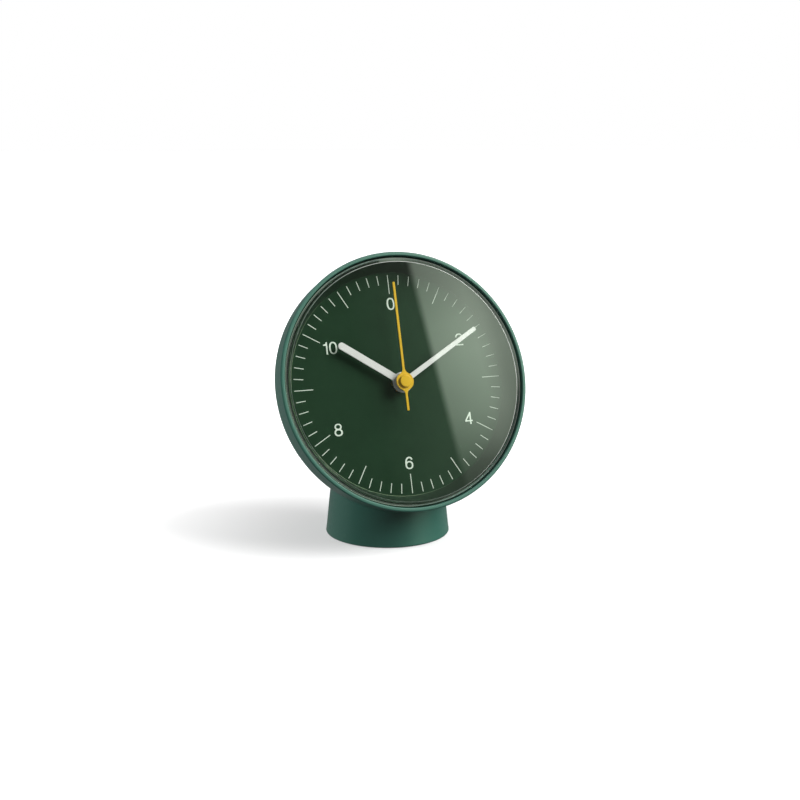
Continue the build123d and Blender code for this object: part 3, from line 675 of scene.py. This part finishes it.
def second_outline():
    """Right side from tip to tail, with a disc blended into arm and tail, then its mirror."""
    half, corner = SECOND_HALF_WIDTH, SECOND_CORNER
    # the blend circle touches the arm's side and the disc from outside
    blend_x = half + SECOND_BLEND_R
    blend_y = math.sqrt((SECOND_DISC_R + SECOND_BLEND_R) ** 2 - blend_x * blend_x)
    eighths = [math.pi / 8 * i for i in range(1, 5)]
    tip = [(half - corner, SECOND_TIP)]
    tip += [(half - corner + corner * math.sin(t), SECOND_TIP - corner + corner * math.cos(t))
            for t in eighths]
    side = [(half, blend_y + 14.0)]
    blend_sweep = math.atan2(-blend_y, -blend_x) + math.pi
    blend_turns = [math.pi + blend_sweep * i / 8 for i in range(9)]
    blend = [(blend_x + SECOND_BLEND_R * math.cos(t), blend_y + SECOND_BLEND_R * math.sin(t))
             for t in blend_turns]
    disc_start = math.atan2(blend_y, blend_x)
    disc_turns = [disc_start - 2 * disc_start * i / 24 for i in range(1, 24)]
    disc = [(SECOND_DISC_R * math.cos(t), SECOND_DISC_R * math.sin(t)) for t in disc_turns]
    lower_blend = [(x, -y) for x, y in reversed(blend)]
    tail = [(half, SECOND_TAIL + corner)]
    tail += [(half - corner + corner * math.cos(t), SECOND_TAIL + corner - corner * math.sin(t))
             for t in eighths]
    right = tip + side + blend + disc + lower_blend + tail
    return right + [(-x, y) for x, y in reversed(right)]


def second_hand():
    bm = plate(second_outline(), SECOND_LOW, SECOND_HIGH, edge=0.07, paired=True)
    merge(bm, hub(radius=1.5, bore=0.76, low=6.25, high=SECOND_LOW + 0.01, edge=0.05))
    finish("second_hand_enamelled", bm, "yellow_hand", "second_hand", body="second_hand_body")


def second_cap():
    radius, low, high = 2.9, SECOND_HIGH + SKIN_GAP, 8.4
    profile = [(0, low), (radius, low), (radius, high, 0.35), (0, high)]
    finish("second_hand_cap_round", turned(profile, segments=96, arc=6),
           "yellow_hand", "second_hand_cap", body="second_hand_body")


head_shell()
lens()
lens_gasket()
chapter_ring()
dial_plate()
base_pedestal()
foot_pad()
bar_hand("hour", clockwise=303.8, half_root=1.75, half_tip=1.75, start=3.2, tip=36.3,
         tip_round=1.74, low=3.3, high=4.0, edge=0.12, bore=2.46, disc_r=5.0,
         collar_r=3.3, collar_low=2.4)
bar_hand("minute", clockwise=59.6, half_root=1.3, half_tip=1.05, start=2.4, tip=47.2,
         tip_round=0.7, low=5.3, high=5.9, edge=0.1, bore=1.61, disc_r=4.4,
         collar_r=2.4, collar_low=4.6)
second_hand()
second_cap()

# ---------------- materials on the pieces carried over from the frame ----------------
for part in frame["record"]["subparts"]:
    piece = frame["nodes"].get(part["node"])
    material = materials.get(part["material_slot"])
    if piece is None or material is None:
        continue
    if not piece.material_slots:
        piece.data.materials.append(material)
    for material_slot in piece.material_slots:
        material_slot.link = "OBJECT"
        material_slot.material = material


# ---------------- stage ----------------
STAGE_CENTRE = Vector((0, -0.01, 0.07))


def direction(azimuth, elevation):
    """Unit vector; degrees, azimuth from the front (-Y) towards the right (+X)."""
    a, e = math.radians(azimuth), math.radians(elevation)
    return Vector((math.sin(a) * math.cos(e), -math.cos(a) * math.cos(e), math.sin(e)))


def make_floor():
    bm = bmesh.new()
    bmesh.ops.create_grid(bm, x_segments=8, y_segments=8, size=30.0)
    floor = mesh_object("floor", bm)
    paper = surface("floor_paper", (0.5, 0.5, 0.5, 1), rough=0.8, rough_drift=0.05, tint=0.002,
                    grain=500, bump=0.02, depth=1e-5, spec=0.0)
    # the paper glows more away from the clock, so its shadow fades with distance
    tree = paper.node_tree
    position = node(tree, "NewGeometry").outputs["Position"]
    glow = remap(tree, vector_math(tree, "LENGTH", position),
                 span=(0.03, 0.16), to=(0.47, 0.94), smooth=True)
    bsdf = tree.nodes["Principled BSDF"]
    bsdf.inputs["Emission Color"].default_value = (1, 1, 1, 1)
    tree.links.new(glow, bsdf.inputs["Emission Strength"])
    floor.data.materials.append(paper)
    floor.visible_glossy = False
    floor.visible_diffuse = False


def make_world():
    """White to the camera, dim as ambient; reflections see a dark front and a pale back."""
    world = bpy.data.worlds.new("studio")
    scene.world = world
    world.use_nodes = True
    tree = world.node_tree
    background = tree.nodes["Background"]
    background.inputs["Color"].default_value = (1.0, 1.0, 1.0, 1)
    rays = node(tree, "LightPath").outputs
    heading = node(tree, "SeparateXYZ", {0: node(tree, "TexCoord").outputs["Generated"]}).outputs
    mirrored = remap(tree, heading[1], span=ROOM_TURN, to=(ROOM_DARK, 0.22), smooth=True)
    ambient, backdrop = 0.2, 1.0
    indirect = mix_value(tree, rays["Is Glossy Ray"], ambient, mirrored)
    strength = mix_value(tree, rays["Is Camera Ray"], indirect, backdrop)
    tree.links.new(strength, background.inputs["Strength"])


def sun(name, azimuth, elevation, energy, spread):
    light = bpy.data.lights.new(name, "SUN")
    light.energy = energy
    light.angle = math.radians(spread)
    lamp = linked_object(name, light)
    lamp.location = STAGE_CENTRE + direction(azimuth, elevation) * 2
    lamp.rotation_euler = (STAGE_CENTRE - lamp.location).to_track_quat("-Z", "Y").to_euler()
    lamp.visible_glossy = False


def reflection_only(panel, name, strength=None, colour=(1, 1, 1, 1)):
    """Make a mesh emit into reflections only; no strength means its "glow" values."""
    material, tree, output = new_material(name)
    if strength is None:
        strength = attribute(tree, "glow")
    emission = node(tree, "Emission", {"Color": colour, "Strength": strength})
    tree.links.new(emission.outputs[0], output.inputs[0])
    panel.data.materials.append(material)
    panel.visible_camera = False
    panel.visible_diffuse = False
    panel.visible_shadow = False


def softbox_glow(x, y):
    """A dim flag beside the near edge, then brighter to the far side and to the top."""
    if x > 0.004:
        return 0.2 * max(0.0, 1 - x / 0.1)
    sideways = 1 + 0.8 * min(1.0, -x / 0.13)
    upward = 1 + 0.2 * max(-2.0, min(1.0, y / 0.13))
    return 1.7 * sideways * upward


def softbox_card():
    """Softbox whose near-vertical edge crosses the lens."""
    bm = bmesh.new()
    glow = bm.verts.layers.float.new("glow")
    xs = [0.17, 0.006, 0.002] + [-0.02 * i for i in range(1, 14)] + [-0.5, -0.95]
    ys = [-0.5, -0.26] + [-0.2 + 0.03 * i for i in range(15)] + [0.45, 0.75]
    rows = []
    for y in ys:
        row = []
        for x in xs:
            along = x - SOFTBOX_LEAN * (y - LEAN_PIVOT_Y)
            vert = bm.verts.new(SOFTBOX_POINT + SOFTBOX_X * along + SOFTBOX_Y * y)
            vert[glow] = softbox_glow(x, y)
            row.append(vert)
        rows.append(row)
    for lower, upper in zip(rows, rows[1:]):
        for i in range(len(xs) - 1):
            bm.faces.new((lower[i], lower[i + 1], upper[i + 1], upper[i]))
    reflection_only(mesh_object("softbox_card", bm), "softbox_emission",
                    colour=(0.8, 1.0, 0.8, 1))


def glow_panel(name, azimuth, elevation, width, height, strength):
    outward = direction(azimuth, elevation)
    side = outward.cross(Vector((0, 0, 1))).normalized()
    top = side.cross(outward).normalized()
    centre = STAGE_CENTRE + outward * 1.2
    bm = bmesh.new()
    bm.faces.new([bm.verts.new(centre + side * x * width / 2 + top * y * height / 2)
                  for x, y in ((-1, -1), (1, -1), (1, 1), (-1, 1))])
    reflection_only(mesh_object(name, bm), name, strength)


def make_camera():
    camera = bpy.data.cameras.new("camera")
    camera.lens = 56.95
    camera.sensor_width = 36
    camera.shift_x = -0.0004
    camera.shift_y = 0.0004
    camera.clip_start = 0.01
    holder = linked_object("camera", camera)
    holder.location = (-0.2255, -0.5727, 0.1917)
    look = Vector((0.3687, 0.9081, -0.1987))
    holder.rotation_euler = look.to_track_quat("-Z", "Y").to_euler()
    scene.camera = holder


scene.view_settings.view_transform = "Standard"
scene.view_settings.look = "None"
scene.view_settings.exposure = 0.0
make_floor()
make_world()
sun("key", azimuth=53, elevation=37, energy=5.0, spread=42)
sun("fill", azimuth=-105, elevation=12, energy=2.2, spread=30)
softbox_card()
glow_panel("overhead_panel", azimuth=-10, elevation=82, width=1.1, height=0.7, strength=1.8)
glow_panel("side_panel", azimuth=100, elevation=35, width=0.7, height=0.9, strength=2.2)
make_camera()
